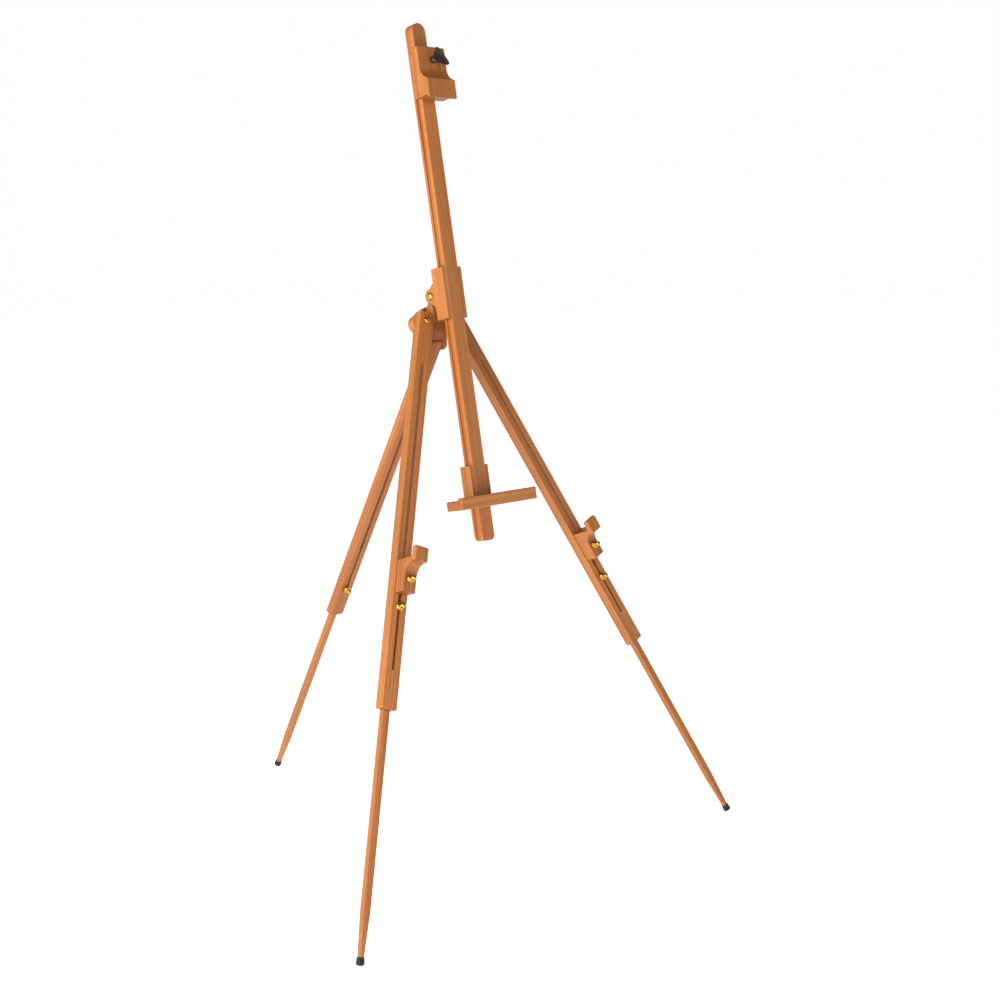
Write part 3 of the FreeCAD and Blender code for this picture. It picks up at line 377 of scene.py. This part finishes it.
def rubber_tips():
    material = rubber("rubber")
    for leg in LEGS:
        up = LEG_AXIS[leg]
        node = "rubber_tip_" + leg
        centre = sum((v.co for v in nodes[node].data.vertices), Vector()) / len(nodes[node].data.vertices)
        low, _ = span(node, up, centre)
        base = centre + up * low
        bm = bmesh.new()
        add_lathe(bm, tip_profile(), stand(base, up), 48)
        name = node + "_ribbed"
        piece(name, smooth(new_mesh(name, bm), 40), "lower_leg_" + leg, material, node)


WING_TURN = 132.0           # degrees from across, one wing up and to the left
WING_HUB = 7.8              # radius of the hub
WING_HALF = 24.5            # axis to a wing's tip
WING_TALL = 37.0            # seat to the wings' outer edge
WING_RIM = 4.9              # half thickness at the wings' rims
WING_DISH = 2.5             # depth of each dished face
WING_EDGE = 0.9             # soft outer edge
WING_BOW = 1.4              # rise of the outer edge's middle


def clamp(value):
    return min(max(value, 0.0), 1.0)


def wing_ring(height):
    """Half width, half thickness at the rim and in the middle, of the wing knob's section at a height."""
    spread = clamp((height - 7.0) / (WING_TALL - 11.0))
    flat = clamp((height - 4.0) / 9.0)
    flat = flat * flat * (3 - 2 * flat)
    half_width = WING_HUB + (WING_HALF - WING_HUB) * spread ** 1.25
    rim = WING_HUB + (WING_RIM - WING_HUB) * flat
    dish = WING_DISH * flat * math.sin(math.pi * min(spread * 0.9 + 0.1, 1.0) / 1.15)
    return half_width, rim, rim - dish


def wing_knob():
    """Moulded wing knob: round hub that spreads into two wings with dished faces and soft edges."""
    along = joint_axis("wing_knob_turn")
    low, _ = span("wing_knob", along, joint_place("wing_knob_turn"))
    turn = math.radians(WING_TURN)
    place = stand(joint_place("wing_knob_turn") + along * low, along,
                  ACROSS * math.cos(turn) + MAST_AXIS * math.sin(turn))
    count, steps = 72, 36
    levels = [(0.0, 0.86), (0.3, 0.95), (0.9, 1.0)]
    levels += [(WING_TALL * i / steps, 1.0) for i in range(2, steps)]
    levels += [(WING_TALL - WING_EDGE + WING_EDGE * math.sin(a), 0.90 + 0.10 * math.cos(a))
               for a in (math.radians(15 * i) for i in range(7))]
    bm = bmesh.new()
    rings = []
    for height, shrink in levels:
        half_width, rim, middle = wing_ring(height)
        power = 1.0 - 0.42 * clamp((height - 4.0) / 10.0)
        ring = []
        for i in range(count):
            angle = 2 * math.pi * i / count
            c, n = math.cos(angle), math.sin(angle)
            x = half_width * math.copysign(abs(c) ** power, c)
            thick = middle + (rim - middle) * (x / half_width) ** 2
            y = thick * math.copysign(abs(n) ** power, n)
            lift = WING_BOW * (1 - (x / half_width) ** 2) * (height / WING_TALL) ** 6
            ring.append(bm.verts.new(place @ (Vector((x * shrink, y * shrink, height + lift)) * MM)))
        rings.append(ring)
    for low_ring, high_ring in zip(rings, rings[1:]):
        join_rings(bm, low_ring, high_ring)
    bm.faces.new(rings[0])
    bm.faces.new(rings[-1])
    name = "wing_knob_moulded"
    piece(name, smooth(new_mesh(name, bm), 60), "wing_knob",
          moulded_plastic("moulded_plastic"), "wing_knob")


BOLT_REACH = 20 * MM        # all points of one bolt are nearer than this across its axis
SCREW_REACH = 9 * MM
NUT_REACH = 17 * MM


def fasteners(node, along, reach):
    """Points of a CAD node, grouped by the line along a direction that they stand around."""
    groups = []
    for vertex in nodes[node].data.vertices:
        height = vertex.co.dot(along)
        point = (vertex.co - along * height, height)
        for group in groups:
            if (point[0] - group[0][0]).length < reach:
                group.append(point)
                break
        else:
            groups.append([point])
    return groups


def widest(group):
    """The two points of a group that lie furthest apart across their direction."""
    flats = [flat for flat, _ in group]
    one = max(flats, key=lambda flat: (flat - flats[0]).length)
    return one, max(flats, key=lambda flat: (flat - one).length)


def headed(node, along, reach):
    """Place of each head's end, direction out of it, length and head radius in mm."""
    found = []
    for group in fasteners(node, along, reach):
        heights = [height for _, height in group]
        one, other = widest(group)
        middle, head = (one + other) / 2, (one - other).length / 2
        rim = [height for flat, height in group if (flat - middle).length > 0.9 * head]
        low, high = min(heights), max(heights)
        up = max(rim) + min(rim) > low + high
        found.append((middle + along * (high if up else low), along if up else -along,
                      (high - low) / MM, head / MM))
    return found


def cut_with(bm_whole, bm_tool, operation):
    """Mesh of one closed shape combined with another."""
    made = []
    for name, bm in (("whole", bm_whole), ("tool", bm_tool)):
        made.append(bpy.data.objects.new(name, new_mesh(name, bm)))
        bpy.context.scene.collection.objects.link(made[-1])
    change = made[0].modifiers.new("cut", "BOOLEAN")
    change.operation = operation
    change.solver = "EXACT"
    change.object = made[1]
    shown = made[0].evaluated_get(bpy.context.evaluated_depsgraph_get())
    mesh = bpy.data.meshes.new_from_object(shown)
    for scrap in made:
        bpy.data.objects.remove(scrap)
    return mesh


def add_prism(bm, outline, low, high, place):
    """Straight body over an outline, between two heights; all in millimetres."""
    rings = [[bm.verts.new(place @ (Vector((x, y, z)) * MM)) for x, y in outline] for z in (low, high)]
    join_rings(bm, *rings)
    bm.faces.new(rings[0])
    bm.faces.new(rings[1])


def wood_screws(node, body):
    """Countersunk screws with a cross recess, one for each screw of a CAD node."""
    bm, tool = bmesh.new(), bmesh.new()
    for at, out, length, head in headed(node, MAST_OUT, SCREW_REACH):
        radius = head / 2
        place = stand(at, out, ACROSS) @ Matrix.Rotation(math.radians(20), 4, "Z")
        add_lathe(bm, [(0, -length), (radius, -length + radius * 2), (radius, -radius), (head, -radius * 0.1),
                       (head - radius * 0.08, 0), (0, 0)], place, 32)
        arm, half = head * 0.62, head * 0.12
        add_prism(tool, [(arm, half), (half, half), (half, arm), (-half, arm), (-half, half), (-arm, half),
                         (-arm, -half), (-half, -half), (-half, -arm), (half, -arm), (half, -half),
                         (arm, -half)], -radius * 0.9, 1.0, place)
    mesh = cut_with(bm, tool, "DIFFERENCE")
    name = node + "_cross_head"
    piece(name, smooth(mesh, 30), body, zinc_steel(name), node)


def dome_bolts(node, body, along, share=2.2):
    """Round-headed bolts with a full dome, one for each bolt of a CAD node; head over shank is given."""
    bm = bmesh.new()
    dome = arc_points((0, 0), 1.0, 0, 90, 12)[:-1] + [(0, 1)]
    for at, out, length, head in headed(node, along, BOLT_REACH):
        radius = head / share
        rise = radius * 1.1
        crown = rise * 0.86
        profile = [(0, -length), (radius - 0.6, -length), (radius, -length + 0.6), (radius, -rise)]
        profile += [(head, -rise)] + [(head * x, -crown + crown * z) for x, z in dome]
        add_lathe(bm, profile, stand(at, out), 48)
    low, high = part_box(node)
    name = node + "_domed"
    material = turned_metal(name, BRASS, (low + high) / 2, along, 0.2)
    piece(name, smooth(new_mesh(name, bm), 40), body, material, node)


def hinge_nuts():
    """Hexagon nuts with both ends chamfered."""
    bm, tool = bmesh.new(), bmesh.new()
    sets = [(group, along, thick) for along, thick in ((LEG_OUT, 6.4), (ACROSS, 5.4))
            for group in fasteners("hinge_nuts", along, NUT_REACH)]
    for group, along, thick in sets:
        heights = [height for _, height in group]
        if abs((max(heights) - min(heights)) / MM - thick) > 0.2:
            continue
        one, other = widest(group)
        corner = (one - other).length / 2 / MM
        middle = (one + other) / 2 + along * min(heights)
        place = stand(middle, along)
        sides = stand(middle, along, one - other)
        add_lathe(bm, [(0, 0), (corner, 0), (corner, thick), (0, thick)], sides, 6)
        rise = corner * 0.09
        narrow, wide, beyond = corner * 0.86, corner * 1.02, 0.01
        add_lathe(tool, [(0, -beyond), (narrow, -beyond), (wide, rise), (wide, thick - rise),
                         (narrow, thick + beyond), (0, thick + beyond)], place, 48)
    mesh = cut_with(bm, tool, "INTERSECT")
    piece("hinge_nuts_chamfered", smooth(mesh, 25), "head", zinc_steel("nut_steel"),
          "hinge_nuts")


# ---- finishes of the CAD nodes --------------------------------------------------------------------
def finish_nodes():
    """Give every CAD node that stays its own material."""
    lengthwise = {"head_block": HEAD_UP, "tilt_bracket": MAST_AXIS, "mast": MAST_AXIS,
                  "carriage_cheek_left": MAST_AXIS, "carriage_cheek_right": MAST_AXIS,
                  "top_clamp_block": MAST_AXIS, "top_clamp_runner": MAST_AXIS, "top_clamp_dowels": MAST_OUT,
                  "ledge_shelf": ACROSS, "ledge_lip": ACROSS, "lip_dowels": MAST_OUT,
                  "ledge_back_plate": MAST_AXIS, "ledge_cheek_left": MAST_AXIS,
                  "ledge_cheek_right": MAST_AXIS}
    for leg in LEGS:
        lengthwise["upper_leg_" + leg] = LEG_AXIS[leg]
        lengthwise["lower_leg_" + leg] = LEG_AXIS[leg]
    for leg in LEGS[:2]:
        lengthwise["peg_" + leg] = LEG_AXIS[leg]
    zinc = zinc_steel("zinc_steel")
    for node, made in nodes.items():
        low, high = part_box(node)
        middle = (low + high) / 2
        if node in lengthwise:
            material = beech("beech_" + node, lengthwise[node], middle)
        elif slots[node] == "brass":
            along = REAR_OUT if "rear" in node else MAST_OUT
            material = turned_metal("brass_" + node, BRASS, middle, along, 0.22)
        elif slots[node] == "zinc_steel":
            material = zinc
        elif slots[node] == "rubber":
            material = rubber("rubber_" + node)
        else:
            material = moulded_plastic("plastic_" + node)
        made.data.materials.clear()
        made.data.materials.append(material)


slots = {part["node"]: part["material_slot"] for part in frame["record"]["subparts"]}
finish_nodes()
brass_knobs()
rubber_tips()
wing_knob()
wood_screws("carriage_screws", "carriage")
wood_screws("ledge_screws", "ledge")
hinge_nuts()
dome_bolts("front_hinge_bolts", "head", LEG_OUT)
dome_bolts("rear_hinge_bolt", "head", ACROSS)
dome_bolts("tilt_bolt", "carriage", ACROSS)
for leg in LEGS:
    dome_bolts("leg_bolt_" + leg, "lower_leg_" + leg, REAR_OUT if leg == "rear" else LEG_OUT, share=2.0)


# ---- floor, light and camera ------------------------------------------------------------------------
def floor():
    """Wide pale floor, slightly luminous so that it meets the white surroundings without a line."""
    bm = bmesh.new()
    bmesh.ops.create_circle(bm, cap_ends=True, radius=40.0, segments=96)
    made = bpy.data.objects.new("floor", new_mesh("floor", bm))
    bpy.context.scene.collection.objects.link(made)
    s = Shader("floor")
    mottle = s.noise(s.add("TexCoord", {}, "Object"), 3.0, 4.0)
    made.data.materials.append(s.finish(base=s.mix(mottle, (0.78, 0.78, 0.78), (0.82, 0.82, 0.815)),
                                        rough=s.range(mottle, 0.85, 0.95), specular=0.2,
                                        glow=(1, 1, 1, 1), glow_strength=0.80))


def softbox(name, at, target, size, power, colour):
    """A rectangular area light aimed at a point."""
    data = bpy.data.lights.new(name, "AREA")
    data.shape = "RECTANGLE"
    data.size, data.size_y = size
    data.energy = power
    data.color = colour
    made = bpy.data.objects.new(name, data)
    bpy.context.scene.collection.objects.link(made)
    made.location = at
    made.rotation_euler = (Vector(target) - Vector(at)).to_track_quat("-Z", "Y").to_euler()


def studio():
    """Floor, two soft lights and surroundings that are white low down and dimmer overhead."""
    floor()
    world = bpy.data.worlds.new("studio")
    bpy.context.scene.world = world
    world.use_nodes = True
    tree = world.node_tree
    direction = tree.nodes.new("ShaderNodeTexCoord").outputs["Generated"]
    parts = tree.nodes.new("ShaderNodeSeparateXYZ")
    band = tree.nodes.new("ShaderNodeValToRGB")
    tree.links.new(direction, parts.inputs[0])
    tree.links.new(parts.outputs["Z"], band.inputs["Fac"])
    tree.links.new(band.outputs["Color"], tree.nodes["Background"].inputs["Color"])
    for element, (place, level) in zip(band.color_ramp.elements, ((0.20, 1.0), (0.46, 0.16))):
        element.position = place
        element.color = (level, level, level, 1)
    softbox("key", (-3.0, -0.4, 2.2), (-0.1, -0.2, 1.1), (1.2, 1.6), 88.0, (1.0, 0.98, 0.95))
    softbox("fill", (-2.3, -1.7, 0.6), (-0.4, -0.45, 0.45), (1.0, 0.8), 26.0, (1.0, 0.97, 0.95))
    bpy.context.scene.view_settings.view_transform = "Standard"


def camera():
    """Eye-level camera in front of the easel and to its left, looking slightly down."""
    heading, tilt, roll = math.radians(44.03), math.radians(9.12), math.radians(-0.60)
    data = bpy.data.cameras.new("camera")
    data.sensor_width = 36.0
    data.lens = 53.7
    made = bpy.data.objects.new("camera", data)
    bpy.context.scene.collection.objects.link(made)
    look = Vector((math.sin(heading) * math.cos(tilt), math.cos(heading) * math.cos(tilt), -math.sin(tilt)))
    level = look.to_track_quat("-Z", "Y").to_matrix().to_4x4()
    made.matrix_world = Matrix.Translation((-2.369, -2.8075, 1.4116)) @ level @ Matrix.Rotation(roll, 4, "Z")
    bpy.context.scene.camera = made


studio()
camera()


def corners(bounds):
    low, high = bounds
    return [list(low), list(high)]
